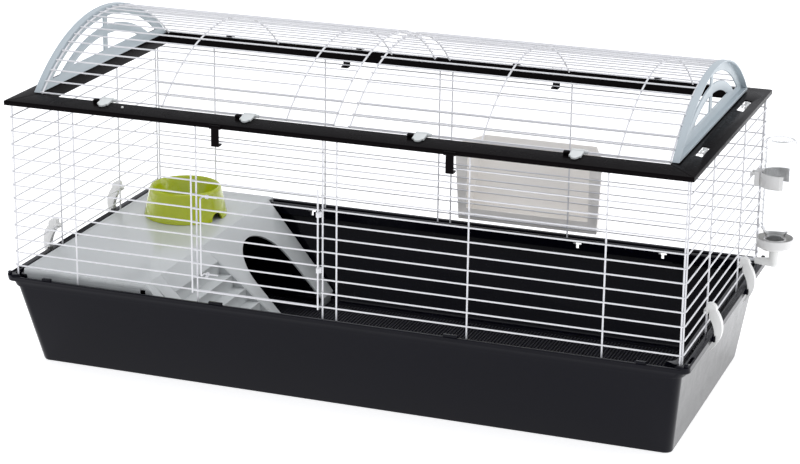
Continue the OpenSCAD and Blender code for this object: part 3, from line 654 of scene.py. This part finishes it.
@dataclass
class WireWalls:
    """The four welded wire walls, the door and its bolt.

    Attributes:
        reach: how far the long wires' lines stand out in X and in Y.
        row_low: height of the lowest long wire.
        door_rows: the first and the last long wire that the doorway interrupts.
        upright: foot and head of the uprights.
        cross: from an upright's line to a long wire's.
        bay: from one upright to the next on the long walls.
        middle: gap between the two middle uprights.
        end_upright: the end walls' inner uprights, from the middle.
        front_shift: how far the front wall's inner uprights stand off the middle.
        back_shift: the same for the back wall.
        overlap: how far a wire runs past the upright that ends it.
        loops: the bolt loops' places in X.
        grip: the bolt's grip in X.
    """

    tree: WireTree
    reach: Pair = (582 * MM, 279 * MM)
    row_low: float = 185 * MM
    row_step: float = 23.6 * MM
    rows: int = 13
    door_rows: tuple[int, int] = (1, 8)
    upright: Pair = (162 * MM, 472.6 * MM)
    cross: float = 2.4 * MM
    bay: float = 223 * MM
    middle: float = 24 * MM
    end_upright: float = 113 * MM
    nugget: float = 1.55 * MM
    front_shift: float = -6 * MM
    back_shift: float = -2 * MM
    overlap: float = 1.5 * MM
    loops: Pair = (-224.9 * MM, -222.1 * MM)
    loop_radius: float = 2.1 * MM
    grip: float = -230 * MM
    grip_bend: float = 3 * MM

    def row(self, k: int) -> float:
        """Height of a long wire."""
        return self.row_low + k * self.row_step

    def uprights(self, shift: float) -> list[float]:
        """Places of a long wall's uprights; shift moves the inner ones."""
        side = [self.middle / 2 + k * self.bay for k in range(3)]
        edge = self.reach[0] - 5 * MM
        inner = [shift + s * p for s in (-1, 1) for p in side if abs(s * p + shift) < edge]
        return sorted([-edge, edge] + inner)

    def long_wall(self, name: str, side: int, shift: float, gap: Pair | None) -> bpy.types.Object:
        """A front or back wall.

        Args:
            name: the piece's name.
            side: -1 for the front, 1 for the back.
            shift: how far the inner uprights stand off the middle.
            gap: the doorway's two uprights, where there is a door.

        Returns:
            The welded wall.
        """
        work = WireWork(name)
        edge = self.reach[0] - 3.5 * MM
        y_wire, y_up = side * self.reach[1], side * (self.reach[1] - self.cross)
        places = self.uprights(shift)
        for x in places:
            work.line([(x, y_up, self.upright[0]), (x, y_up, self.upright[1])], True)
        for k in range(self.rows):
            z = self.row(k)
            runs = [(-edge, edge)]
            if gap and self.door_rows[0] <= k <= self.door_rows[1]:
                runs = [(-edge, gap[0] + self.overlap), (gap[1] - self.overlap, edge)]
            for start, end in runs:
                work.line([(start, y_wire, z), (end, y_wire, z)])
                for x in places:
                    if start <= x <= end:
                        work.dot((x, (y_wire + y_up) / 2, z), self.nugget)
        return work.build(self.tree, WIRE_WHITE)

    def end_wall(self, name: str, side: int) -> bpy.types.Object:
        """A left or right wall."""
        work = WireWork(name)
        half = self.reach[1] - 7 * MM
        x_wire, x_up = side * self.reach[0], side * (self.reach[0] - self.cross)
        places = (-half, -self.end_upright, self.end_upright, half)
        for y in places:
            work.line([(x_up, y, self.upright[0]), (x_up, y, self.upright[1])], True)
        for k in range(self.rows):
            z = self.row(k)
            work.line([(x_wire, -half - self.overlap, z), (x_wire, half + self.overlap, z)])
            for y in places:
                work.dot(((x_wire + x_up) / 2, y, z), self.nugget)
        return work.build(self.tree, WIRE_WHITE)

    def door(self) -> bpy.types.Object:
        """The door: two stiles, nine wires and the two loops that guide the bolt."""
        low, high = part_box("front_door")
        work = WireWork("front_door_wires")
        left, right = low.x + 1.8 * MM, high.x - 1.8 * MM
        y_stile = low.y + 1.5 * MM
        y_wire = y_stile + self.cross
        for x in (left, right):
            work.line([(x, y_stile, low.z), (x, y_stile, high.z)], True)
        for k in range(self.door_rows[1] + 1):
            z = self.row(k)
            work.line([(left - 1 * MM, y_wire, z), (right + 1 * MM, y_wire, z)])
            for x in (left, right):
                work.dot((x, (y_stile + y_wire) / 2, z), self.nugget)
        bolt_low, bolt_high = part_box("door_bolt")
        y_bolt = bolt_high.y - BENT_WIRE
        for z, k in ((bolt_low.z + BENT_WIRE, 1), (bolt_high.z - BENT_WIRE, 7)):
            for x in self.loops:
                loop = [(x, y_bolt + p, z + q) for p, q in arc((0, 0), self.loop_radius, 0, 360, 18)]
                work.line(loop, domes=False)
                work.line([(x, y_bolt - 1.2 * MM, z + 1.7 * MM * (1 if self.row(k) > z else -1)),
                           (x, y_wire, self.row(k))])
        return work.build(self.tree, WIRE_WHITE)

    def bolt(self) -> bpy.types.Object:
        """The bolt, one bent wire with a grip outside and two fingers inside."""
        low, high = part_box("door_bolt")
        work = WireWork("door_bolt_wire")
        y_in, y_out = high.y - BENT_WIRE, low.y + BENT_WIRE
        z_low, z_high = low.z + BENT_WIRE, high.z - BENT_WIRE
        grip, tip = self.grip, high.x - BENT_WIRE
        work.line(bent([(tip, y_in, z_low), (grip, y_in, z_low), (grip, y_out, z_low), (grip, y_out, z_high),
                        (grip, y_in, z_high), (tip, y_in, z_high)], self.grip_bend))
        return work.build(self.tree, WIRE_WHITE)

    def build(self) -> None:
        """Make the walls, the door and the bolt."""
        front = self.uprights(self.front_shift)
        doorway = (front[2], front[3])
        fit(self.long_wall("front_wall_wires", -1, self.front_shift, doorway), "root", WIRE_WHITE,
            "wall_front", "wall_front_bridge")
        fit(self.long_wall("back_wall_wires", 1, self.back_shift, None), "root", WIRE_WHITE, "wall_back")
        fit(self.end_wall("left_wall_wires", -1), "root", WIRE_WHITE, "wall_left")
        fit(self.end_wall("right_wall_wires", 1), "root", WIRE_WHITE, "wall_right")
        fit(self.door(), "door", WIRE_WHITE, "front_door")
        fit(self.bolt(), "bolt", WIRE_WHITE, "door_bolt")
        moulded("door_hinge_eyes", "root", WIRE_WHITE, 0.5 * MM, 2)


@dataclass
class Roof:
    """Two domed wire panels, their hinge clips, latches and sockets."""

    tree: WireTree
    half: float = 243 * MM
    rise: float = 92 * MM
    foot_z: float = 482 * MM
    starts: Pair = (-537 * MM, 15 * MM)
    hoops: tuple[float, ...] = (0.0, 221 * MM, 442 * MM, 524 * MM)
    gaps: int = 22
    arc_steps: int = 44

    def panel(self, name: str, start: float) -> bpy.types.Object:
        """One panel: four hoops under 23 long wires."""
        radius = (self.half ** 2 + self.rise ** 2) / (2 * self.rise)
        centre = self.foot_z + self.rise - radius
        angle = math.asin(self.half / radius)
        shell = radius + (1.5 + 1.3 - 0.03) * MM
        work = WireWork(name)

        def at(x: float, turn: float, r: float) -> Point:
            """A point on the dome."""
            return (x, r * math.sin(turn), centre + r * math.cos(turn))

        for dx in self.hoops:
            turns = [-angle + 2 * angle * k / self.arc_steps for k in range(self.arc_steps + 1)]
            work.line([at(start + dx, t, radius) for t in turns], True)
        for k in range(self.gaps + 1):
            turn = -angle + 2 * angle * k / self.gaps
            work.line([at(start - 2 * MM, turn, shell), at(start + self.hoops[-1] + 2 * MM, turn, shell)])
            for dx in self.hoops:
                work.dot(at(start + dx, turn, radius + 1.5 * MM), 1.5 * MM)
        return work.build(self.tree, WIRE_WHITE)

    def build(self) -> None:
        """Make both panels and what holds them."""
        for side, start in zip(("left", "right"), self.starts):
            fit(self.panel(f"roof_{side}_wires", start), f"roof_{side}", WIRE_WHITE,
                f"roof_hoops_{side}", f"roof_wires_{side}")
        for number in range(1, 5):
            node = f"roof_latch_{number}"
            moulded(node, f"latch_{number}", LATCH_GREY, 1.1 * MM)
        moulded("roof_hinge_clips", "root", RAIL_BLACK, 0.7 * MM)
        moulded("latch_sockets", "root", RAIL_BLACK, 1.4 * MM)


# ------------------------------------------------------------------ mouldings


@dataclass
class Ring:
    """A rounded rectangle of a loft, its sizes in millimetres.

    Attributes:
        length: half of its size along X.
        width: half of its size along Y.
        corner: radius of its corners.
        z: its height.
        dip: how much lower its front side runs.
    """

    length: float
    width: float
    corner: float
    z: float
    dip: float = 0.0

    def points(self, steps: int) -> list[Point]:
        """The ring's points, anticlockwise from the +X side."""
        found = []
        for quarter, (sx, sy) in enumerate(((1, 1), (-1, 1), (-1, -1), (1, -1))):
            centre = (sx * (self.length - self.corner) * MM, sy * (self.width - self.corner) * MM)
            start = quarter * 90
            turn = [(x, y, self.z * MM) for x, y in arc(centre, self.corner * MM, start, start + 90, steps)]
            inner_x = centre[0] - sx * BESIDE_CORNER
            inner_y = centre[1] - sy * BESIDE_CORNER
            beside = [(sx * self.length * MM, inner_y, self.z * MM)]
            along = [(inner_x, sy * self.width * MM, (self.z - self.dip * (sy < 0)) * MM)]
            found += beside + turn + along if quarter % 2 == 0 else along + turn + beside
        return found


@dataclass
class Tub:
    """The deep moulded tub with its grooved rim.

    Attributes:
        stud_field: length and width of the floor's raised pattern.
        stud_lift: the pattern's height over the underside.
        tees: places of the T-shaped slots along X.
        tee_outline: a slot's outline in X and Z, in millimetres.
        tee_skirt: the skirt's two faces in Y, with a little to spare.
        gap_half: half the length of the gap behind a slot.
        gap_start: where that gap begins in Y.
        gaps: for each of its two parts, the far side in Y, the foot and the head.
        hole_at: the long hole near the right front corner, in X and Y.
        hole_half: from its middle to the centre of an end.
        stops: the stops on the front rim, each a place in X and half a length.
        stop_y: a stop's front and back.
        ridges: places of the right rim's ridges in X.
        ridge_half: half a ridge's width and half its length.
    """

    corner_steps: int = 8
    stud_field: Pair = (1070 * MM, 420 * MM)
    stud_pitch: float = 6.2 * MM
    stud_size: float = 2.6 * MM
    stud_height: float = 0.9 * MM
    stud_lift: float = 2.98 * MM
    tees: tuple[float, ...] = (257 * MM, 414 * MM, -257 * MM, -414 * MM)
    tee_outline: tuple[Pair, ...] = (
        (-7.2, 160.4), (-2.6, 160.4), (-2.6, 153), (2.6, 153),
        (2.6, 160.4), (7.2, 160.4), (7.2, 164.4), (-7.2, 164.4),
    )
    tee_skirt: Pair = (258 * MM, 267 * MM)
    gap_half: float = 9 * MM
    gap_start: float = 266.3 * MM
    gaps: tuple[Point, ...] = ((283 * MM, 150 * MM, 165 * MM), (298 * MM, 146.6 * MM, 157.5 * MM))
    hole_at: Pair = (589.4 * MM, -256 * MM)
    hole_radius: float = 2.6 * MM
    hole_half: float = 16 * MM
    hole_z: Pair = (150 * MM, 180 * MM)
    stops: tuple[Pair, ...] = (
        (-205 * MM, 12 * MM), (-518 * MM, 8 * MM), (205 * MM, 12 * MM), (518 * MM, 8 * MM)
    )
    stop_y: Pair = (-288.6 * MM, -283 * MM)
    stop_z: Pair = (165.6 * MM, 170.4 * MM)
    ridges: tuple[float, ...] = (586.6 * MM, 589.2 * MM, 591.8 * MM)
    ridge_half: Pair = (0.5 * MM, 104 * MM)
    ridge_z: Pair = (169.8 * MM, 170.7 * MM)

    def rings(self) -> list[Ring]:
        """The tub's section, from the underside up the outside, over the rim and down the inside."""
        rows = (
            (548, 222, 6, 0.5), (554, 229, 10, 0.5), (555, 230, 11, 0.0), (557.6, 232.2, 12.4, 0.1),
            (560, 234.6, 13.4, 1.0), (561.3, 236.2, 14, 3.4), (579.8, 282.5, 16, 146.0),
            (580.6, 283.2, 16.4, 148.0), (583.6, 283.4, 16.6, 148.4), (585, 283.8, 17, 149.6),
            (585, 286.4, 12, 158.0), (593.6, 286.5, 10, 158.1), (595, 286.9, 10, 159.4),
            (595, 289.9, 10, 168.8, 3.4), (594.5, 289.5, 9.6, 169.7, 3.4),
            (593.4, 288.4, 9, 170, 3.4), (584.8, 281.8, 11, 170, 4.4),
            (583.8, 280.8, 10.2, 169.7, 4.8), (583.5, 280.5, 10, 169, 4.8),
            (583.5, 280.5, 10, 162, 6), (576.5, 273.5, 8, 162, 6), (576.5, 273.5, 8, 167.4, 11.2),
            (576, 273, 8, 168, 11.4), (567.2, 263.2, 14.6, 168, 13.4),
            (566.2, 262.2, 14, 167.6, 13.4), (566, 262, 14, 166.6, 13), (566, 262, 14, 150.6),
            (566.6, 262.6, 14.6, 150), (569.4, 265.4, 17.4, 150), (570, 266, 18, 150.6),
            (570, 266, 18, 154), (577, 284.4, 13, 154), (576.1, 282.4, 13, 150),
            (559, 234.6, 11.4, 8), (557.4, 231.4, 10.6, 4.6), (554, 227.6, 8, 3.2),
            (549, 223, 6, 3.0),
        )
        return [Ring(*sizes) for sizes in rows]

    def shell(self) -> bpy.types.Object:
        """Loft the rings into the closed shell."""
        loops = [ring.points(self.corner_steps) for ring in self.rings()]
        count = len(loops[0])
        points = [p for loop in loops for p in loop]
        last = range(len(points) - count, len(points))
        faces: list[Sequence[int]] = [tuple(range(count))[::-1], tuple(last)]
        for j in range(len(loops) - 1):
            for k in range(count):
                nxt = (k + 1) % count
                faces.append((j * count + k, j * count + nxt, (j + 1) * count + nxt, (j + 1) * count + k))
        return from_faces("tub_shell", points, faces)

    def open_tee(self, shell: bpy.types.Object, x: float) -> None:
        """Cut a T-shaped slot through the back of the inner skirt, and the gap behind it."""
        outline = [(x + p * MM, z * MM) for p, z in self.tee_outline]
        cut(shell, extruded(outline, 1, *self.tee_skirt))
        for far, foot, head in self.gaps:
            cut(shell, block((x - self.gap_half, self.gap_start, foot), (x + self.gap_half, far, head)))

    def loop_slot(self, shell: bpy.types.Object, side: int) -> None:
        """Cut the long hole in the lip near a front corner."""
        x, y = side * self.hole_at[0], self.hole_at[1]
        back = arc((x, y + self.hole_half), self.hole_radius, 0, 180, 8)
        front = arc((x, y - self.hole_half), self.hole_radius, 180, 360, 8)
        cut(shell, extruded(back + front, 2, *self.hole_z))

    def rim_blocks(self) -> bpy.types.Object:
        """The small stops that stand on the front rim, and the fine ridges on the end rims."""
        stops = [block((x - half, self.stop_y[0], self.stop_z[0]), (x + half, self.stop_y[1], self.stop_z[1]))
                 for x, half in self.stops]
        wide, long = self.ridge_half
        ridges = [block((side * x - wide, -long, self.ridge_z[0]), (side * x + wide, long, self.ridge_z[1]))
                  for side in (-1, 1) for x in self.ridges]
        return round_edges(joined("rim_stops", stops + ridges), 0.35 * MM, 2)

    def studs(self) -> bpy.types.Object:
        """The floor's fine raised pattern, laid by its own Geometry Nodes tree."""
        tree = bpy.data.node_groups.new("floor_studs", "GeometryNodeTree")
        kinds = {"Length": "Float", "Width": "Float", "Across": "Int", "Along": "Int", "Stud": "Float",
                 "Height": "Float", "Finish": "Material"}
        ids = {name: tree.interface.new_socket(name, in_out="INPUT", socket_type="NodeSocket" + kind).identifier
               for name, kind in kinds.items()}
        tree.interface.new_socket("Studs", in_out="OUTPUT", socket_type="NodeSocketGeometry")
        new, link = tree.nodes.new, tree.links.new
        given = new("NodeGroupInput").outputs
        grid = new("GeometryNodeMeshGrid")
        sockets = {"Length": "Size X", "Width": "Size Y", "Across": "Vertices X", "Along": "Vertices Y"}
        for name, socket in sockets.items():
            link(given[name], grid.inputs[socket])
        cone = new("GeometryNodeMeshCone")
        cone.inputs["Vertices"].default_value = 4
        cone.inputs["Radius Top"].default_value = 0.0
        link(given["Stud"], cone.inputs["Radius Bottom"])
        link(given["Height"], cone.inputs["Depth"])
        dots = new("GeometryNodeInstanceOnPoints")
        link(grid.outputs["Mesh"], dots.inputs["Points"])
        link(cone.outputs["Mesh"], dots.inputs["Instance"])
        real = new("GeometryNodeRealizeInstances")
        link(dots.outputs["Instances"], real.inputs["Geometry"])
        dress = new("GeometryNodeSetMaterial")
        link(real.outputs["Geometry"], dress.inputs["Geometry"])
        link(given["Finish"], dress.inputs["Material"])
        link(dress.outputs["Geometry"], new("NodeGroupOutput").inputs["Studs"])
        piece = add_object("tub_floor_studs", bpy.data.meshes.new("tub_floor_studs"))
        nodes = piece.modifiers.new("floor_studs", "NODES")
        nodes.node_group = tree
        length, width = self.stud_field
        values = {"Length": length, "Width": width, "Across": round(length / self.stud_pitch),
                  "Along": round(width / self.stud_pitch), "Stud": self.stud_size, "Height": self.stud_height,
                  "Finish": FLOOR_BLACK.material()}
        for name, value in values.items():
            nodes[ids[name]] = value
        settle(piece)
        piece.data.transform(Matrix.Translation((0, 0, self.stud_lift)))
        return piece

    def build(self) -> None:
        """Make the shell, its floor pattern and the small parts on its rim."""
        shell = self.shell()
        for x in self.tees:
            self.open_tee(shell, x)
        for side in (-1, 1):
            self.loop_slot(shell, side)
        fit(shade(shell, 28), "root", TUB_BLACK, "tub")
        fit(self.rim_blocks(), "root", TUB_BLACK)
        fit(self.studs(), "root", FLOOR_BLACK)
        moulded("corner_knobs", "root", TUB_BLACK, 0.8 * MM)
        moulded("tub_clip_catches", "root", TUB_BLACK, 0.8 * MM)
        for side in ("left", "right"):
            for end in ("front", "back"):
                node = f"tub_clip_{side}_{end}"
                moulded(node, f"lever_{side}_{end}", CLIP_WHITE, 1.0 * MM)


@dataclass
class TopFrame:
    """The four rails of the top frame, the end plates and the wall clips.

    Attributes:
        slot_spans: where the right rail's two slots begin and end along Y.
        slot_x: the slots' sides in X.
        highlight_bar_foot: height at which the white bars of painted slot-edge highlight begin.
        peg_at: foot of the front rail's peg.
    """

    slot_spans: tuple[Pair, Pair] = ((-178 * MM, -121 * MM), (114 * MM, 184 * MM))
    slot_x: Pair = (561 * MM, 573 * MM)
    slot_z: Pair = (470 * MM, 490 * MM)
    highlight_bar_foot: float = 473 * MM
    peg_at: Point = (-377 * MM, -266 * MM, 479 * MM)

    def slotted_rail(self) -> bpy.types.Object:
        """The right rail with its two long slots."""
        rail = copy_of("right_rail", "right_rail_moulding")
        for start, end in self.slot_spans:
            cut(rail, block((self.slot_x[0], start, self.slot_z[0]), (self.slot_x[1], end, self.slot_z[1])))
        return round_edges(rail, 0.8 * MM)

    def slot_highlights_and_peg(self) -> bpy.types.Object:
        """White bars along each slot's edges, shaped as a bar with a bent end: a painted highlight of the slot's
        edges; and the small peg of the front rail.
        """
        parts, foot = [], self.highlight_bar_foot
        # Each slot gets white bars along its edges: painted highlight of the slot's edges.
        for start, end in self.slot_spans:
            middle, left, right = (start + end) / 2, self.slot_x[0] + 2 * MM, self.slot_x[1] - 2 * MM
            parts.append(block((right - 2.4 * MM, middle - 6 * MM, foot), (right, end - 6 * MM, 477.6 * MM)))
            parts.append(block((left, end - 11 * MM, foot), (right - 2.5 * MM, end - 6 * MM, 478 * MM)))
            parts.append(block((left, middle - 2 * MM, foot), (left + 2.2 * MM, middle + 9 * MM, 478 * MM)))
        peg = [(0, 0), (2.2, 0), (2.2, 1.4), (1.6, 2.4), (0.8, 2.9), (0, 3)]
        parts.append(lathe(millimetres(peg), self.peg_at, "peg", 20))
        return round_edges(joined("slot_highlights_and_peg", parts), 0.5 * MM, 2)

    def build(self) -> None:
        """Make the rails, the plates and the clips."""
        for side in ("front", "back", "left"):
            moulded(f"{side}_rail", "root", RAIL_BLACK, 1.2 * MM)
        fit(self.slotted_rail(), "root", RAIL_BLACK, "right_rail")
        # White bars of painted highlight along the right rail's slot edges, with the front rail's peg.
        fit(self.slot_highlights_and_peg(), "root", CLIP_WHITE)
        for side in ("left", "right"):
            moulded(f"end_plate_{side}", "root", PLATE_BLUE, 0.8 * MM)
            for end in ("front", "back"):
                node = f"wall_clip_{end}_{side}"
                moulded(node, f"clip_{end}_{side}", RAIL_BLACK, 1.0 * MM)
        moulded("wall_clip_pins", "root", RAIL_BLACK, 0.4 * MM)


@dataclass
class Furniture:
    """The platform, the bowl, the hay rack and the water bottle.

    Attributes:
        tabs: places of the skirt's tabs along X, in millimetres.
        slope: the ramp's front margin in X and Z, in millimetres.
        corner: the piece between that margin and the skirt, in the same way.
        notch_radius: radius of the bowl's two notches.
        notch_turns: where they are, in degrees about the bowl's axis.
    """

    tabs: tuple[int, ...] = (-486, -448, -416, -384)
    tab_length: float = 2.4
    slope: tuple[Pair, ...] = (
        (-350, 177.7), (-340, 177.7), (-296, 129.6), (-298.2, 127.6), (-341.3, 175), (-350, 175)
    )
    corner: tuple[Pair, ...] = ((-350, 177.7), (-340, 177.7), (-322, 158.2), (-350, 158.2))
    notch_radius: float = 14 * MM
    notch_turns: Pair = (-15, 165)

    def skirt_tabs(self) -> bpy.types.Object:
        """The skirt's tabs and lower edge, the fine edge on the left and the ramp's front margin."""
        tabs = [block((x * MM, -271.9 * MM, 169.5 * MM), ((x + self.tab_length) * MM, -270.6 * MM, 176 * MM))
                for x in self.tabs]
        tabs.append(block((-566 * MM, -262 * MM, 177.5 * MM), (-564.4 * MM, 262 * MM, 178.4 * MM)))
        tabs.append(block((-567 * MM, -270.9 * MM, 158.5 * MM), (-340 * MM, -268.2 * MM, 170 * MM)))
        tabs.append(extruded(millimetres(self.slope), 1, -261.5 * MM, -248.5 * MM))
        tabs.append(extruded(millimetres(self.corner), 1, -270.9 * MM, -261 * MM))
        return round_edges(joined("platform_tabs", tabs), 0.4 * MM, 2)

    def bowl(self) -> bpy.types.Object:
        """The weighted bowl: a flared skirt, a rolled rim and a dished inside, with two arched notches."""
        low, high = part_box("food_bowl")
        centre = ((low.x + high.x) / 2, (low.y + high.y) / 2, low.z)
        profile = [(0, 11), (44, 11), (50, 13), (53, 17), (59.5, 46), (60.2, 47.5), (61.2, 47), (72.2, 1),
                   (73, 0), (75.2, 0), (76, 0.8), (75.9, 2.4), (74.6, 8), (66.2, 47), (65.4, 50.6), (64.2, 52.8),
                   (62.4, 54), (60.4, 53.4), (59, 51.4), (57.4, 46), (51, 20), (48.6, 16), (44, 14.2),
                   (0, 14)]
        bowl = lathe(millimetres(profile), centre, "food_bowl_shell", 96)
        for turn in self.notch_turns:
            outline = arc((0, 0), self.notch_radius, 0, 360, 32)[:-1]
            tool = extruded(outline, 0, 58 * MM, 90 * MM)
            tool.data.transform(Matrix.Translation(centre) @ Matrix.Rotation(math.radians(turn), 4, "Z"))
            cut(bowl, tool)
        return shade(bowl, 35)

    def bottle(self) -> bpy.types.Object:
        """The clear bottle, neck down, with a waist ring and a dimpled end."""
        low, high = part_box("bottle")
        centre = ((low.x + high.x) / 2, (low.y + high.y) / 2, low.z)
        outer = [(16, 0), (16, 14), (17.5, 18), (24, 27), (27.6, 32.6), (28.5, 37), (28.5, 176), (27.6, 181),
                 (24.6, 185), (20, 186), (10, 183.4), (0, 182.6)]
        inner = [(0, 181.4), (10, 182.2), (19.6, 184.6), (23.6, 183.8), (26.3, 180.4), (27.1, 176),
                 (27.1, 37.4), (26.4, 33.8), (23, 28.2), (16.6, 19.4), (14.4, 15), (14.4, 0)]
        return shade(lathe(millimetres(outer + inner), centre, "bottle_shell", 72), 50)

    def build(self) -> None:
        """Make the furniture and put each piece on its body."""
        moulded("platform", "platform", DECK_GREY, 0.9 * MM)
        fit(self.skirt_tabs(), "platform", DECK_GREY)
        fit(self.bowl(), "bowl", BOWL_LIME, "food_bowl")
        moulded("hay_rack", "rack", RACK_BEIGE, 0.9 * MM)
        moulded("bottle_holder", "root", HOLDER_PALE, 0.8 * MM)
        fit(self.bottle(), "bottle", BOTTLE_CLEAR, "bottle")
        moulded("bottle_cap", "bottle_cap", HOLDER_PALE, 0.6 * MM)
        moulded("bottle_spout", "bottle_cap", CLIP_WHITE, 0.6 * MM)
        for node, finish in (("bottle_seal", SEAL), ("spout_tube", STEEL), ("spout_ball", STEEL)):
            for slot in frame["nodes"][node].material_slots:
                slot.material = finish.material()


# ------------------------------------------------------------------ studio


@dataclass
class Studio:
    """The camera, the pale floor and the soft lights.

    Attributes:
        camera_at: the camera's place.
        yaw: its turn to the left of +Y, in degrees.
        pitch: its tilt downwards.
        lens: its focal length on a 36 mm sensor.
        room_light: strength of the room as a light.
        backdrop: strength of the room as a backdrop.
        floor_reach: from the middle of the floor to its sides.
        floor_glow: strength of its own light.
        lamp_power: power of each soft light, in watts.
    """

    camera_at: Point = (1.3357, -3.6230, 1.4826)
    yaw: float = 20.05
    pitch: float = 17.95
    roll: float = 0.69
    lens: float = 106.08
    room_light: float = 0.78
    backdrop: float = 1.15
    room_colour: tuple[float, ...] = (0.94, 0.955, 1, 1)
    floor_reach: float = 9.0
    floor_colour: tuple[float, ...] = (0.72, 0.72, 0.73, 1)
    floor_glow: float = 0.75
    lamp_power: float = 30

    def camera(self) -> None:
        """Set the camera from its place, yaw, pitch and roll."""
        yaw, pitch, roll = (math.radians(a) for a in (self.yaw, self.pitch, self.roll))
        ahead = Vector((-math.sin(yaw) * math.cos(pitch), math.cos(yaw) * math.cos(pitch), -math.sin(pitch)))
        right = ahead.cross(Vector((0, 0, 1))).normalized()
        up = right.cross(ahead)
        across = math.cos(roll) * right + math.sin(roll) * up
        above = math.cos(roll) * up - math.sin(roll) * right
        data = bpy.data.cameras.new("camera")
        data.lens = self.lens
        data.sensor_width = 36
        data.clip_start = 0.05
        data.clip_end = 60
        made = add_object("camera", data)
        made.matrix_world = Matrix.Translation(self.camera_at) @ Matrix(
            [(across[k], above[k], -ahead[k]) for k in range(3)]).to_4x4()
        bpy.context.scene.camera = made

    def softbox(self, name: str, at: Point, toward: Point, size: Pair) -> None:
        """One rectangular light."""
        data = bpy.data.lights.new(name, "AREA")
        data.shape = "RECTANGLE"
        data.size, data.size_y = size
        data.energy = self.lamp_power
        lamp = add_object(name, data)
        lamp.matrix_world = Matrix.Translation(at) @ (
            Vector(toward) - Vector(at)).to_track_quat("-Z", "Y").to_matrix().to_4x4()

    def floor(self) -> None:
        """A wide pale floor."""
        reach = self.floor_reach
        floor = from_faces("studio_floor", [(-reach, -reach, 0), (reach, -reach, 0), (reach, reach, 0),
                                            (-reach, reach, 0)], [(0, 1, 2, 3)])
        made = bpy.data.materials.new("floor_white")
        bench = NodeBench(made)
        bench.shader.inputs["Base Color"].default_value = self.floor_colour
        bench.shader.inputs["Roughness"].default_value = 0.9
        bench.shader.inputs["Emission Color"].default_value = (1, 1, 1, 1)
        bench.shader.inputs["Emission Strength"].default_value = self.floor_glow
        floor.data.materials.append(made)

    def world(self) -> None:
        """A white room: bright as a backdrop, softer as a light."""
        world = bpy.data.worlds.new("studio_world")
        world.use_nodes = True
        nodes, links = world.node_tree.nodes, world.node_tree.links
        back = nodes["Background"]
        back.inputs["Color"].default_value = self.room_colour
        level = nodes.new("ShaderNodeMapRange")
        level.inputs["To Min"].default_value = self.room_light
        level.inputs["To Max"].default_value = self.backdrop
        links.new(nodes.new("ShaderNodeLightPath").outputs["Is Camera Ray"], level.inputs["Value"])
        links.new(level.outputs["Result"], back.inputs["Strength"])
        bpy.context.scene.world = world

    def build(self) -> None:
        """Set the whole studio."""
        self.camera()
        self.floor()
        self.world()
        self.softbox("top_light", (-0.4, 0.6, 3.2), (0, 0, 0.2), (3.2, 2.4))
        self.softbox("side_light", (3.4, 1.4, 1.6), (0.4, 0, 0.2), (2.4, 2.4))
        view = bpy.context.scene.view_settings
        view.view_transform = "Standard"
        view.look = "None"


def main() -> None:
    """Build the studio and the cage."""
    logging.basicConfig(level=logging.INFO, format="%(name)s %(message)s")
    Studio().build()
    tree = WireTree()
    Tub().build()
    WireWalls(tree).build()
    TopFrame().build()
    Roof(tree).build()
    Furniture().build()


if __name__ == "__main__":
    main()
